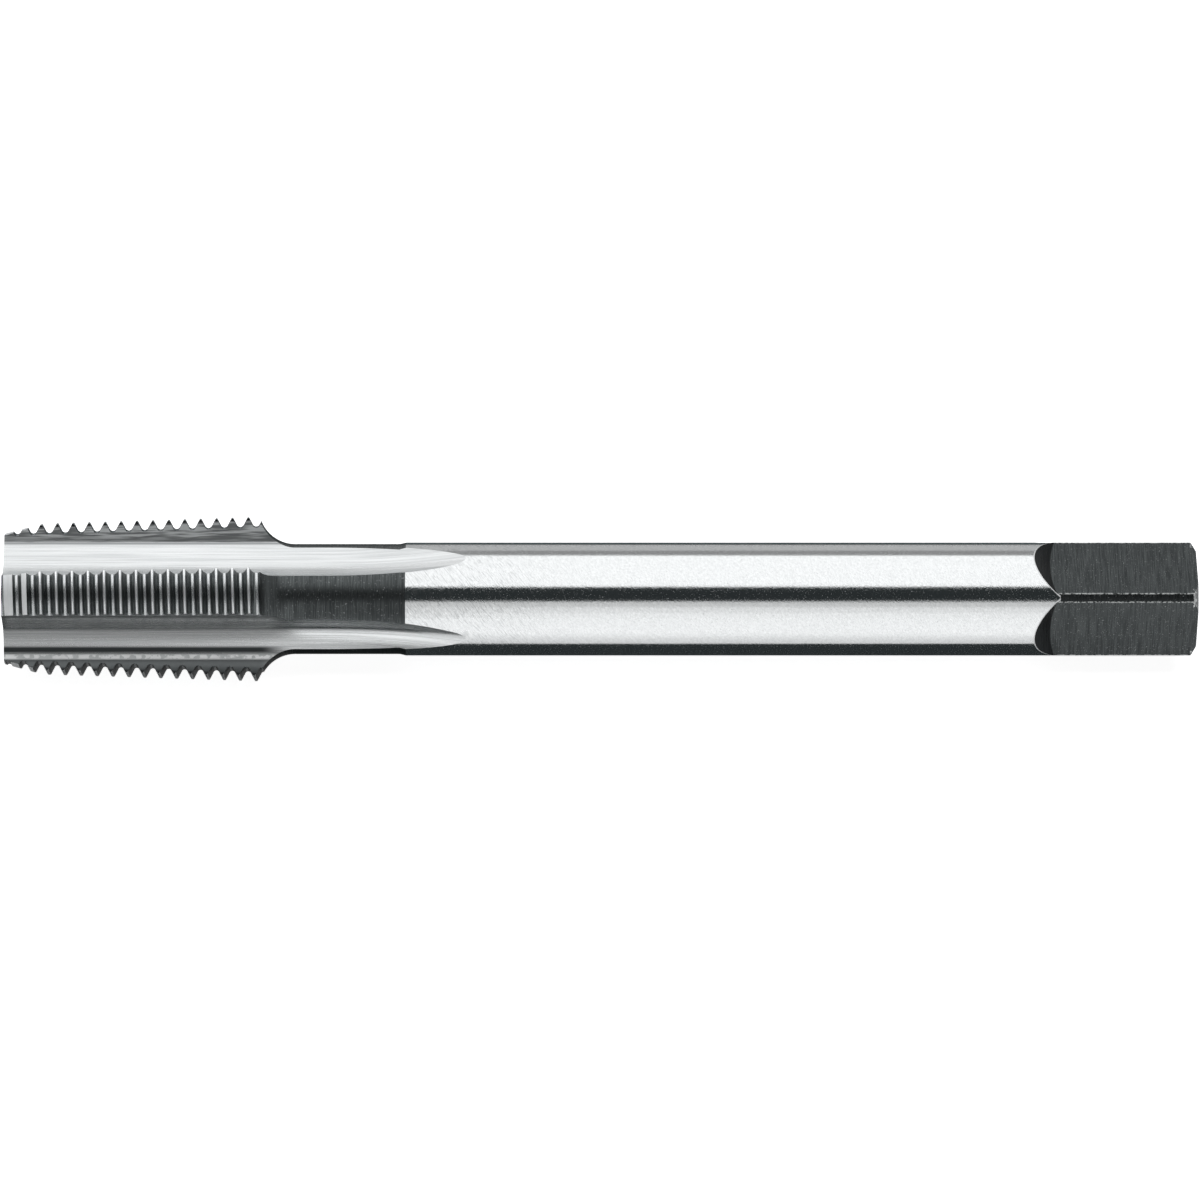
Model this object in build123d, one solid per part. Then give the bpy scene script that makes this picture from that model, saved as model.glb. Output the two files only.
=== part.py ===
from build123d import *
import os
from math import atan, atan2, ceil, cos, degrees, radians, sin, sqrt, tan

# A hand tap for taper pipe threads: 1/4 inch size, 19 threads to the inch, right-hand, four straight flutes.
# Millimetres. The origin is the centre of the nose, +X runs along the axis to the driving square and +Z is up.
# The tap is one piece of tool steel: a turned blank, a ground thread, four ground flutes and a milled square.

# ---- driving dimensions ----
overall_length = 100.0

threads_per_inch = 19
pitch = 25.4 / threads_per_inch
taper = 1 / 16              # on the diameter, per length
gauge_diameter = 13.157     # over the crests, at the gauge plane
gauge_plane = 10.5          # from the nose
thread_length = 21.4        # nose to the last crest
thread_depth = 0.6 * pitch
flank_angle = 27.5          # half of the 55 degree thread angle
crest_flat = 0.09 * pitch
crest_at_flat = 2.85        # one crest crosses the +Y half-plane this far from the nose

nose_diameter = 11.0
lead_angle = 15.0           # of the cutting chamfer, to the axis

thread_end_radius = 3.1     # concave sweep from the last crest down to the neck
neck_diameter = 9.25
neck_end = 33.15
neck_step = 0.55            # short cone between the neck and the shank
shank_diameter = 9.5
end_chamfer_length = 0.4
end_chamfer_depth = 0.65

flute_count = 4
clocking = 3.6              # turns flutes and flats so that the tap lies level on two lands
flute_core_radius = 3.75
hook_radius = 2.8           # hollow of the cutting face
flute_floor_radius = 1.9    # from the floor of the flute to the heel slope
heel_slope = 20.0           # of the heel side, to the floor's tangent
heel_reach = 2.2            # from the flute's centreline to the foot of the land's heel
heel_wall_angle = 38.5
flute_length = 26.8         # full depth, from the nose
wheel_radius = 72.0         # grinding wheel that leaves the curved run-out

square_across_flats = 7.2
square_start = 87.7         # where each flat begins, on its own centreline
mill_radius = 10.9
ramp_angle = 40.0           # between the flat and the ramp up to the shank

centre_angle = 30.0         # half of the 60 degree centre
nose_centre_mouth = 3.0
nose_centre_drill = 1.25
tail_centre_mouth = 2.6
tail_centre_drill = 1.1
centre_drill_length = 2.2   # of the small hole, past the mouth's cone
drill_point_angle = 59.0    # half of the centre drill's point

cut_margin = 1.2            # how far the cutting tools reach past the steel

# ---- worked out from them ----
shank_radius = shank_diameter / 2
neck_radius = neck_diameter / 2
nose_radius = nose_diameter / 2
flat_distance = square_across_flats / 2


def crest_radius(x):
    return gauge_diameter / 2 + (x - gauge_plane) * taper / 2


largest_radius = crest_radius(thread_length)
lead_length = (crest_radius(0) - nose_radius) / (tan(radians(lead_angle)) - taper / 2)
end_arc_height = neck_radius + thread_end_radius
neck_start = thread_length + sqrt(thread_end_radius**2 - (end_arc_height - largest_radius) ** 2)
shank_start = neck_end + neck_step


def blank():
    """The turned blank: lead chamfer, taper, end sweep, neck, shank and end chamfer."""
    front = Polyline(
        (0, 0),
        (0, nose_radius),
        (lead_length, crest_radius(lead_length)),
        (thread_length, largest_radius),
    )
    sweep_down = TangentArc((neck_start, neck_radius), (thread_length, largest_radius), tangent=(-1, 0))
    back = Polyline(
        (neck_start, neck_radius),
        (neck_end, neck_radius),
        (shank_start, shank_radius),
        (overall_length - end_chamfer_length, shank_radius),
        (overall_length, shank_radius - end_chamfer_depth),
        (overall_length, 0),
        (0, 0),
    )
    return revolve(make_face([front, sweep_down, back]), Axis.X)


def groove_span(start, turns):
    """Some whole turns of the thread's groove, from a start on the +Y side, which lies in a flute."""
    slope = tan(radians(flank_angle))
    crest = crest_radius(start)
    clearance = crest_flat / 2
    root = crest - thread_depth
    outer = crest + clearance
    outer_half = (pitch - crest_flat) / 2 + clearance * slope
    root_half = outer_half - (outer - root) * slope
    section = Polyline(
        (root, 0, root_half),
        (outer, 0, outer_half),
        (outer, 0, -outer_half),
        (root, 0, -root_half),
        (root, 0, root_half),
    )
    path = Helix(pitch, turns * pitch, crest, cone_angle=degrees(atan(taper / 2)))
    groove = sweep(make_face(section), path=path, is_frenet=True)
    return Plane(origin=(start, 0, 0), x_dir=(0, 1, 0), z_dir=(1, 0, 0)) * groove


def cut_thread(body):
    """The right-hand thread, cut in spans from before the nose until it runs out over the neck."""
    turns = 2
    first_groove = crest_at_flat - pitch / 2
    start = first_groove - ceil(first_groove / pitch + 1) * pitch
    for number in range(ceil((neck_start + pitch - start) / (turns * pitch))):
        body -= groove_span(start + number * turns * pitch, turns)
    return body


def flute():
    """One flute facing +Y: a straight pass, then the rise that the round wheel leaves."""
    slope = radians(heel_slope)
    wall = radians(heel_wall_angle)
    top = largest_radius + cut_margin
    hook_centre = flute_core_radius + hook_radius
    floor_end = (
        flute_core_radius + flute_floor_radius * (1 - cos(slope)),
        -flute_floor_radius * sin(slope),
    )
    heel_foot = (floor_end[0] + (heel_reach + floor_end[1]) * tan(slope), -heel_reach)
    heel_top = (top, -heel_reach - (top - heel_foot[0]) / tan(wall))

    section = Plane(origin=(0, 0, 0), x_dir=(0, 1, 0), z_dir=(1, 0, 0))
    outline = [
        Polyline(floor_end, heel_foot, heel_top, (top, hook_radius), (hook_centre, hook_radius)),
        TangentArc((flute_core_radius, 0), (hook_centre, hook_radius), tangent=(0, 1)),
        TangentArc((flute_core_radius, 0), floor_end, tangent=(0, -1)),
    ]
    profile = section * make_face(outline)
    straight = extrude(Pos(-cut_margin, 0, 0) * profile, amount=flute_length + cut_margin, dir=(1, 0, 0))

    rise = shank_radius + cut_margin / 2 - flute_core_radius
    rise_angle = degrees(atan2(sqrt(2 * wheel_radius * rise - rise**2), wheel_radius - rise))
    wheel_axis = Axis((flute_length, flute_core_radius + wheel_radius, 0), (0, 0, 1))
    run_out = revolve(Pos(flute_length, 0, 0) * profile, wheel_axis, rise_angle)
    return straight + run_out


def flat_cut():
    """One flat of the square facing +Y, with the conical ramp of the face mill."""
    height = shank_radius - flat_distance + cut_margin
    mill = Cone(
        mill_radius,
        mill_radius + height / tan(radians(ramp_angle)),
        height,
        align=(Align.CENTER, Align.CENTER, Align.MIN),
    )
    return Plane(origin=(square_start + mill_radius, flat_distance, 0), z_dir=(0, 1, 0)) * mill


def centre_hole(mouth_diameter, drill_diameter):
    """A 60 degree lathe centre on the axis, its mouth at the origin, going in along +X."""
    mouth = mouth_diameter / 2
    drill = drill_diameter / 2
    cone_length = (mouth - drill) / tan(radians(centre_angle))
    drill_end = cone_length + centre_drill_length
    point_length = drill / tan(radians(drill_point_angle))
    outline = Polyline(
        (0, 0),
        (0, mouth),
        (cone_length, drill),
        (drill_end, drill),
        (drill_end + point_length, 0),
        (0, 0),
    )
    return revolve(make_face(outline), Axis.X)


def tap():
    """The whole tap."""
    body = cut_thread(blank())
    for number in range(flute_count):
        turn = Rot(X=clocking + number * 360 / flute_count)
        body -= turn * flute()
        body -= turn * flat_cut()
    body -= centre_hole(nose_centre_mouth, nose_centre_drill)
    body -= Pos(overall_length, 0, 0) * Rot(Z=180) * centre_hole(tail_centre_mouth, tail_centre_drill)
    return body


os.makedirs("parts", exist_ok=True)
finished = tap()
print("tap", round(finished.volume, 2), "mm3", "valid" if finished.is_valid else "not valid")
export_step(finished, "parts/tap.step")
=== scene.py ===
# %% [markdown]
# # A hand tap, ground from one bar
# A tap cuts an internal thread. This one is for a quarter inch taper pipe thread, and it is made the way
# a toolmaker makes it: a turned blank first, then one helical groove, four flutes and four flats taken away.
# The lesson follows that order, because each cut leaves its own finish on the steel.
#
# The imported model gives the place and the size. Every length below is in metres, in the model's own frame:
# +X runs along the axis from the nose to the driving square, and +Z is up.

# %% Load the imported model
import bpy
from math import acos, atan2, ceil, cos, degrees, pi, radians, sin, sqrt, tan
from mathutils import Matrix, Vector


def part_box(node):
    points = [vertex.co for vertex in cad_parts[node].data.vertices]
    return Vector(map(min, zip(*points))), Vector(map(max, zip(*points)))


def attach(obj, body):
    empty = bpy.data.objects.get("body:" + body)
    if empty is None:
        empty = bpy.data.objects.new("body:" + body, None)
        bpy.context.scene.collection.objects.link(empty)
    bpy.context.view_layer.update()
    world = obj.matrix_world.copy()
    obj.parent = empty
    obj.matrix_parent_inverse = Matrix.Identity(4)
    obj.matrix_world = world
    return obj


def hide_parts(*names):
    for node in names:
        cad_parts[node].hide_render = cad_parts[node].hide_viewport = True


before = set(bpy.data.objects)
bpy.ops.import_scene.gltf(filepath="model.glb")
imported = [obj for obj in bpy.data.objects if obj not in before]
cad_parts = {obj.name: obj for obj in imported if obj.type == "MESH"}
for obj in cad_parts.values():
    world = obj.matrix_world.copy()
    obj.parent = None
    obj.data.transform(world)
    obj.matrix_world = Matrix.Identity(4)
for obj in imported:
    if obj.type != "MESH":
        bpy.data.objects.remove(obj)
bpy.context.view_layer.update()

MM = 0.001
tap_low, tap_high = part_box("tap")
LENGTH = tap_high[0] - tap_low[0]
print("the packed tap is", round(LENGTH / MM, 3), "mm long")

# %% [markdown]
# ## The sizes of the tap
# These are the same driving sizes as in the part's source. Only the thread's form is finer here: the real
# groove has a round root, and a narrow flat stays on each crest.

# %% Thread sizes
INCH = 25.4 * MM
THREADS_PER_INCH = 19
PITCH = INCH / THREADS_PER_INCH
TAPER = 1 / 16
GAUGE_DIAMETER = 13.157 * MM
GAUGE_RADIUS = GAUGE_DIAMETER / 2
GAUGE_PLANE = 10.5 * MM
THREAD_LENGTH = 21.4 * MM
THREAD_DEPTH = 0.6 * PITCH
CREST_FLAT = 0.09 * PITCH
FLANK = radians(27.5)
CREST_AT_FLAT = 2.85 * MM


def crest_radius(x):
    """The radius over the thread's crests at a distance from the nose."""
    return GAUGE_RADIUS + (x - GAUGE_PLANE) * TAPER / 2


crest_diameters = [round(2 * crest_radius(x) / MM, 2) for x in (0, THREAD_LENGTH)]
print("crest diameters at the nose and at the last thread:", crest_diameters)

# %% Blank, flute and square sizes
NOSE_RADIUS = 5.5 * MM
LEAD_ANGLE = radians(15)
THREAD_END_RADIUS = 3.1 * MM
NECK_RADIUS = 4.625 * MM
NECK_END = 33.15 * MM
SHANK_START = 33.7 * MM
SHANK_RADIUS = 4.75 * MM
END_CHAMFER_LENGTH = 0.4 * MM
END_CHAMFER_DEPTH = 0.65 * MM
LEAD_LENGTH = (crest_radius(0) - NOSE_RADIUS) / (tan(LEAD_ANGLE) - TAPER / 2)
ARC_HEIGHT = NECK_RADIUS + THREAD_END_RADIUS
ARC_DROP = ARC_HEIGHT - crest_radius(THREAD_LENGTH)
NECK_START = THREAD_LENGTH + sqrt(THREAD_END_RADIUS**2 - ARC_DROP**2)

FLUTES = 4
CLOCKING = radians(3.6)
CORE_RADIUS = 3.75 * MM
HOOK_RADIUS = 2.8 * MM
FLOOR_RADIUS = 1.9 * MM
HEEL_SLOPE = radians(20)
HEEL_REACH = 2.2 * MM
HEEL_WALL = radians(38.5)
FLUTE_LENGTH = 26.8 * MM
WHEEL_RADIUS = 72 * MM

FLAT_DISTANCE = 3.6 * MM
SQUARE_START = 87.7 * MM
SHANK_GROUND_END = 88.44 * MM
MILL_RADIUS = 10.9 * MM
RAMP_ANGLE = radians(40)
MARGIN = 1.2 * MM
print("lead chamfer ends at", round(LEAD_LENGTH / MM, 2), "mm")
print("neck starts at", round(NECK_START / MM, 2), "mm")

# %% [markdown]
# ## Finishes
# Every cut keeps the finish of the tool that made it. The materials are made empty here, so that each
# cutter can carry its own, and they are filled in further down.

# %% Empty materials, one for each finish
FINISHES = (
    "thread_ground",
    "crest_ground",
    "lead_ground",
    "flute_ground",
    "neck_turned",
    "shank_ground",
    "square_milled",
    "ends_turned",
)
materials = {}
for finish in FINISHES:
    materials[finish] = bpy.data.materials.new(finish)
    materials[finish].use_nodes = True
print(len(materials), "finishes")

# %% [markdown]
# ## Turned forms
# The blank, the centre holes and the face mill are all turned forms, so one helper makes them: it spins an
# outline of (along, radius) points about an axis. Blender's Screw modifier could do it too. The helper is
# shorter here, closes both poles with a single point, and can give each stretch of the outline its finish.


# %% Helper: a closed turned form
BLANK_SEGMENTS = 256
CENTRE_SEGMENTS = 96
MILL_SEGMENTS = 512


def turned(name, outline, finishes, segments):
    """Spins (x, radius) points about X. Each stretch between two points has the finish of the same number."""
    points, rings = [], []
    for x, radius in outline:
        if radius == 0:
            rings.append([len(points)] * segments)
            points.append((x, 0, 0))
            continue
        rings.append(list(range(len(points), len(points) + segments)))
        for step in range(segments):
            angle = 2 * pi * step / segments
            points.append((x, radius * cos(angle), radius * sin(angle)))
    used = sorted(set(finishes), key=FINISHES.index)
    faces, slots = [], []
    for number, (near, far) in enumerate(zip(rings, rings[1:])):
        for step in range(segments):
            after = (step + 1) % segments
            corners = [near[step], near[after], far[after], far[step]]
            faces.append(list(dict.fromkeys(corners)))
            slots.append(used.index(finishes[number]))
    return solid(name, points, faces, [materials[finish] for finish in used], slots)


def solid(name, points, faces, finishes, slots=None):
    """A mesh object from points and faces."""
    mesh = bpy.data.meshes.new(name)
    mesh.from_pydata([Vector(point) for point in points], [], faces)
    for finish in finishes:
        mesh.materials.append(finish)
    if slots:
        mesh.polygons.foreach_set("material_index", slots)
    mesh.validate()
    made = bpy.data.objects.new(name, mesh)
    bpy.context.scene.collection.objects.link(made)
    return made


# %% Helper: an arc
def arc(centre, radius, start, end, steps):
    """Points on an arc, in the plane of an outline, from one angle to another."""
    angles = [start + (end - start) * step / steps for step in range(steps + 1)]
    return [(centre[0] + radius * cos(angle), centre[1] + radius * sin(angle)) for angle in angles]


# %% The turned blank
arc_start = atan2(crest_radius(THREAD_LENGTH) - ARC_HEIGHT, THREAD_LENGTH - NECK_START)
end_sweep = arc((NECK_START, ARC_HEIGHT), THREAD_END_RADIUS, arc_start + 2 * pi, 1.5 * pi, steps=20)
stretches = [
    ([(0, 0)], "ends_turned"),
    ([(0, NOSE_RADIUS)], "crest_ground"),
    ([(LEAD_LENGTH, crest_radius(LEAD_LENGTH))], "crest_ground"),
    (end_sweep, "neck_turned"),
    ([(NECK_END, NECK_RADIUS)], "neck_turned"),
    ([(SHANK_START, SHANK_RADIUS)], "shank_ground"),
    ([(SHANK_GROUND_END, SHANK_RADIUS)], "square_milled"),
    ([(LENGTH - END_CHAMFER_LENGTH, SHANK_RADIUS)], "ends_turned"),
    ([(LENGTH, SHANK_RADIUS - END_CHAMFER_DEPTH)], "ends_turned"),
    ([(LENGTH, 0)], "ends_turned"),
]
outline, outline_finishes = [], []
for points, finish in stretches:
    outline += points
    outline_finishes += [finish] * len(points)
blank = turned("blank", outline, outline_finishes[:-1], BLANK_SEGMENTS)
print("blank:", len(blank.data.polygons), "faces")


# %% Centre drills
CENTRE_ANGLE = radians(30)
DRILL_POINT = radians(59)
CENTRE_DRILL_LENGTH = 2.2 * MM
NOSE_CENTRE_RADII = (1.5 * MM, 0.625 * MM)
TAIL_CENTRE_RADII = (1.3 * MM, 0.55 * MM)


def centre_drill(name, mouth, drill):
    """The cutter of a 60 degree lathe centre. It goes in along +X and reaches a little out of its mouth."""
    out = 0.2 * MM
    cone = (mouth - drill) / tan(CENTRE_ANGLE)
    drill_end = cone + CENTRE_DRILL_LENGTH
    outline = [
        (-out, 0),
        (-out, mouth + out * tan(CENTRE_ANGLE)),
        (cone, drill),
        (drill_end, drill),
        (drill_end + drill / tan(DRILL_POINT), 0),
    ]
    return turned(name, outline, ["ends_turned"] * 4, CENTRE_SEGMENTS)


nose_centre = centre_drill("nose_centre_drill", *NOSE_CENTRE_RADII)
tail_centre = centre_drill("tail_centre_drill", *TAIL_CENTRE_RADII)
tail_centre.data.transform(Matrix.Translation((LENGTH, 0, 0)) @ Matrix.Rotation(pi, 4, "Z"))
print("centre drills:", len(nose_centre.data.polygons), "and", len(tail_centre.data.polygons), "faces")

# %% Face mill
mill_height = SHANK_RADIUS - FLAT_DISTANCE + MARGIN
mill_outline = [
    (0, 0),
    (0, MILL_RADIUS),
    (mill_height, MILL_RADIUS + mill_height / tan(RAMP_ANGLE)),
    (mill_height, 0),
]
mill = turned("face_mill", mill_outline, ["square_milled"] * 3, MILL_SEGMENTS)
mill_place = Matrix.Translation((SQUARE_START + MILL_RADIUS, FLAT_DISTANCE, 0))
mill.data.transform(mill_place @ Matrix.Rotation(pi / 2, 4, "Z"))
print("face mill:", len(mill.data.polygons), "faces")

# %% [markdown]
# ## The flute cutter
# A grinding wheel with the flute's profile passes along the blank and then rises out of it. Its profile is
# a hollow cutting face on one side, a small round floor, a long heel slope and a steep heel wall. The cutter
# is that profile set down at a row of stations, first straight on and then round the wheel's own centre.


# %% Flute cutter
def flute_profile():
    """The profile as (out, round) points: out from the axis, and round the axis the way the angle grows."""
    hook_centre = CORE_RADIUS + HOOK_RADIUS
    top = crest_radius(THREAD_LENGTH) + MARGIN
    floor_end = (CORE_RADIUS + FLOOR_RADIUS * (1 - cos(HEEL_SLOPE)), -FLOOR_RADIUS * sin(HEEL_SLOPE))
    foot = (floor_end[0] + (HEEL_REACH + floor_end[1]) * tan(HEEL_SLOPE), -HEEL_REACH)
    hook = arc((hook_centre, 0), HOOK_RADIUS, pi / 2, pi, steps=28)
    floor = arc((CORE_RADIUS + FLOOR_RADIUS, 0), FLOOR_RADIUS, pi, pi + HEEL_SLOPE, steps=8)
    wall_top = (top, -HEEL_REACH - (top - foot[0]) / tan(HEEL_WALL))
    return [(top, HOOK_RADIUS)] + hook + floor[1:] + [foot, wall_top]


def flute_cutter():
    """The flute's profile at stations along the straight pass and the run-out."""
    profile = flute_profile()
    rise = SHANK_RADIUS + MARGIN / 2 - CORE_RADIUS
    run_angle = atan2(sqrt(2 * WHEEL_RADIUS * rise - rise**2), WHEEL_RADIUS - rise)
    wheel = Vector((FLUTE_LENGTH, CORE_RADIUS + WHEEL_RADIUS, 0))
    run_steps = 40
    moves = [Matrix.Translation((-MARGIN - FLUTE_LENGTH, 0, 0)), Matrix.Identity(4)]
    for step in range(1, run_steps + 1):
        turn = Matrix.Rotation(run_angle * step / run_steps, 4, "Z")
        moves.append(Matrix.Translation(wheel) @ turn @ Matrix.Translation(-wheel))
    size = len(profile)
    points, faces = [], []
    for move in moves:
        points += [move @ Vector((FLUTE_LENGTH, out, around)) for out, around in profile]
    for station in range(len(moves) - 1):
        near, far = station * size, (station + 1) * size
        for step in range(size):
            after = (step + 1) % size
            faces.append([near + step, near + after, far + after, far + step])
    faces.append(list(range(size))[::-1])
    faces.append(list(range((len(moves) - 1) * size, len(moves) * size)))
    return solid("flute_wheel", points, faces, [materials["flute_ground"]])


flute = flute_cutter()
print("flute cutter:", len(flute.data.polygons), "faces")

# %% [markdown]
# ## The thread's groove
# The groove follows a rule: one section carried along a spiral that widens with the taper. Geometry Nodes
# have a Spiral curve and Curve to Mesh for exactly that. The section is drawn once as a flat closed curve.


# %% Section of the groove
def groove_section():
    """Half-round root between two straight flanks. X is out from the crest line and Y is along the axis."""
    half = (PITCH - CREST_FLAT) / 2
    sharp = half / tan(FLANK)
    root_radius = (sharp - THREAD_DEPTH) / (1 / sin(FLANK) - 1)
    clearance = CREST_FLAT / 2
    root_centre = (root_radius - THREAD_DEPTH, 0)
    root = arc(root_centre, root_radius, 1.5 * pi - FLANK, pi / 2 + FLANK, steps=12)
    outer = half + clearance * tan(FLANK)
    flank_steps = 3
    upper = root[-1]
    rising = []
    for step in range(1, flank_steps):
        share = step / flank_steps
        rising.append((upper[0] + (clearance - upper[0]) * share, upper[1] + (outer - upper[1]) * share))
    falling = [(out, -along) for out, along in reversed(rising)]
    points = (root + rising + [(clearance, outer), (clearance, -outer)] + falling)[::-1]
    print("root radius", round(root_radius / MM, 3), "mm")
    curve = bpy.data.curves.new("groove_section", "CURVE")
    spline = curve.splines.new("POLY")
    spline.points.add(len(points) - 1)
    for point, (out, along) in zip(spline.points, points):
        point.co = (out, along, 0, 1)
    spline.use_cyclic_u = True
    section = bpy.data.objects.new("groove_section", curve)
    bpy.context.scene.collection.objects.link(section)
    return section


section = groove_section()

# %% [markdown]
# ## The grinding tree
# One node tree does all the cutting. Its inputs are the cutters and the few sizes that the spiral needs.
# Mesh Boolean with the Manifold solver keeps each cutter's material on the faces that it leaves behind.


# %% Helper: nodes and links
def add(tree, kind, **settings):
    """A new node with its settings."""
    node = tree.nodes.new(kind)
    for name, value in settings.items():
        setattr(node, name, value)
    return node


def tree_input(tree, name, kind, value=None):
    """A named input on a node tree."""
    socket = tree.interface.new_socket(name, in_out="INPUT", socket_type=kind)
    if value is not None:
        socket.default_value = value
    return socket


# %% Build the grinding tree
def grinding_tree():
    """Takes the groove, the flutes, the flats and the centre holes from the blank."""
    tree = bpy.data.node_groups.new("grinding", "GeometryNodeTree")
    tree_input(tree, "Blank", "NodeSocketGeometry")
    for name in ("Groove section", "Flute wheel", "Face mill", "Nose centre", "Tail centre"):
        tree_input(tree, name, "NodeSocketObject")
    for name in ("Turns", "Start radius", "End radius", "Spiral length", "Spiral start", "Clocking"):
        tree_input(tree, name, "NodeSocketFloat")
    tree_input(tree, "Steps per turn", "NodeSocketInt")
    tree_input(tree, "Lead length", "NodeSocketFloat")
    for name in ("Groove finish", "Land finish", "Lead finish"):
        tree_input(tree, name, "NodeSocketMaterial")
    tree.interface.new_socket("Tap", in_out="OUTPUT", socket_type="NodeSocketGeometry")
    given = add(tree, "NodeGroupInput").outputs
    link = tree.links.new

    spiral = add(tree, "GeometryNodeCurveSpiral")
    spiral.inputs["Reverse"].default_value = True
    link(given["Steps per turn"], spiral.inputs["Resolution"])
    link(given["Turns"], spiral.inputs["Rotations"])
    link(given["Start radius"], spiral.inputs["Start Radius"])
    link(given["End radius"], spiral.inputs["End Radius"])
    link(given["Spiral length"], spiral.inputs["Height"])
    upright = add(tree, "GeometryNodeSetCurveNormal", mode="Z_UP")
    link(spiral.outputs["Curve"], upright.inputs["Curve"])
    sweep = add(tree, "GeometryNodeCurveToMesh")
    sweep.inputs["Fill Caps"].default_value = True
    profile = add(tree, "GeometryNodeObjectInfo")
    link(given["Groove section"], profile.inputs["Object"])
    link(upright.outputs["Curve"], sweep.inputs["Curve"])
    link(profile.outputs["Geometry"], sweep.inputs["Profile Curve"])
    lay_down = add(tree, "GeometryNodeTransform")
    z_along_x = Matrix(((0, 0, 1), (1, 0, 0), (0, 1, 0)))
    lay_down.inputs["Rotation"].default_value = z_along_x.to_euler()
    start = add(tree, "ShaderNodeCombineXYZ")
    link(given["Spiral start"], start.inputs["X"])
    link(start.outputs["Vector"], lay_down.inputs["Translation"])
    link(sweep.outputs["Mesh"], lay_down.inputs["Geometry"])
    groove = add(tree, "GeometryNodeSetMaterial")
    link(lay_down.outputs["Geometry"], groove.inputs["Geometry"])
    link(given["Groove finish"], groove.inputs["Material"])

    cut = add(tree, "GeometryNodeMeshBoolean", operation="DIFFERENCE", solver="MANIFOLD")
    link(given["Blank"], cut.inputs["Mesh 1"])
    link(groove.outputs["Geometry"], cut.inputs["Mesh 2"])
    for name in ("Nose centre", "Tail centre"):
        drill = add(tree, "GeometryNodeObjectInfo")
        link(given[name], drill.inputs["Object"])
        link(drill.outputs["Geometry"], cut.inputs["Mesh 2"])
    for name in ("Flute wheel", "Face mill"):
        tool = add(tree, "GeometryNodeObjectInfo")
        link(given[name], tool.inputs["Object"])
        for number in range(FLUTES):
            angle = add(tree, "ShaderNodeMath", operation="ADD")
            angle.inputs[1].default_value = number * 2 * pi / FLUTES
            link(given["Clocking"], angle.inputs[0])
            about_axis = add(tree, "ShaderNodeCombineXYZ")
            link(angle.outputs[0], about_axis.inputs["X"])
            turn = add(tree, "GeometryNodeTransform")
            link(tool.outputs["Geometry"], turn.inputs["Geometry"])
            link(about_axis.outputs["Vector"], turn.inputs["Rotation"])
            link(turn.outputs["Geometry"], cut.inputs["Mesh 2"])
    real = add(tree, "GeometryNodeRealizeInstances")
    link(cut.outputs["Mesh"], real.inputs["Geometry"])
    place = add(tree, "ShaderNodeSeparateXYZ")
    link(add(tree, "GeometryNodeInputPosition").outputs[0], place.inputs[0])
    in_lead = add(tree, "FunctionNodeCompare", data_type="FLOAT", operation="LESS_THAN")
    link(place.outputs["X"], in_lead.inputs["A"])
    link(given["Lead length"], in_lead.inputs["B"])
    on_land = add(tree, "GeometryNodeMaterialSelection")
    link(given["Land finish"], on_land.inputs["Material"])
    lead_land = add(tree, "FunctionNodeBooleanMath", operation="AND")
    link(in_lead.outputs["Result"], lead_land.inputs[0])
    link(on_land.outputs["Selection"], lead_land.inputs[1])
    lead = add(tree, "GeometryNodeSetMaterial")
    link(real.outputs["Geometry"], lead.inputs["Geometry"])
    link(lead_land.outputs[0], lead.inputs["Selection"])
    link(given["Lead finish"], lead.inputs["Material"])
    link(lead.outputs["Geometry"], add(tree, "NodeGroupOutput").inputs["Tap"])
    return tree


grinding = grinding_tree()
print("grinding tree:", len(grinding.nodes), "nodes")

# %% Sizes and cutters for the tree
first_groove = CREST_AT_FLAT - PITCH / 2
spiral_start = first_groove - ceil(first_groove / PITCH + 1) * PITCH
turns = ceil((NECK_START + PITCH - spiral_start) / PITCH)
spiral_end = spiral_start + turns * PITCH
settings = {
    "Groove section": section,
    "Flute wheel": flute,
    "Face mill": mill,
    "Nose centre": nose_centre,
    "Tail centre": tail_centre,
    "Turns": float(turns),
    "Start radius": crest_radius(spiral_start),
    "End radius": crest_radius(spiral_end),
    "Spiral length": spiral_end - spiral_start,
    "Spiral start": spiral_start,
    "Clocking": CLOCKING,
    "Steps per turn": 240,
    "Lead length": LEAD_LENGTH,
    "Groove finish": materials["thread_ground"],
    "Land finish": materials["crest_ground"],
    "Lead finish": materials["lead_ground"],
}
print("groove:", turns, "turns from", round(spiral_start / MM, 2), "mm")

# %% Run the tree and keep a plain mesh
modifier = blank.modifiers.new("grinding", "NODES")
modifier.node_group = grinding
for item in grinding.interface.items_tree:
    if item.item_type == "SOCKET" and item.in_out == "INPUT" and item.name in settings:
        modifier[item.identifier] = settings[item.name]
bpy.context.view_layer.update()
evaluated = blank.evaluated_get(bpy.context.evaluated_depsgraph_get())
tap_mesh = bpy.data.meshes.new_from_object(evaluated)
tap_mesh.name = "tap_steel"
tap = bpy.data.objects.new("tap_steel", tap_mesh)
bpy.context.scene.collection.objects.link(tap)
blank.modifiers.remove(modifier)
for helper in (blank, flute, mill, nose_centre, tail_centre, section):
    bpy.data.objects.remove(helper)
triangles = sum(len(polygon.vertices) - 2 for polygon in tap_mesh.polygons)
print("tap:", triangles, "triangles,", [material.name for material in tap_mesh.materials])

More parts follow.
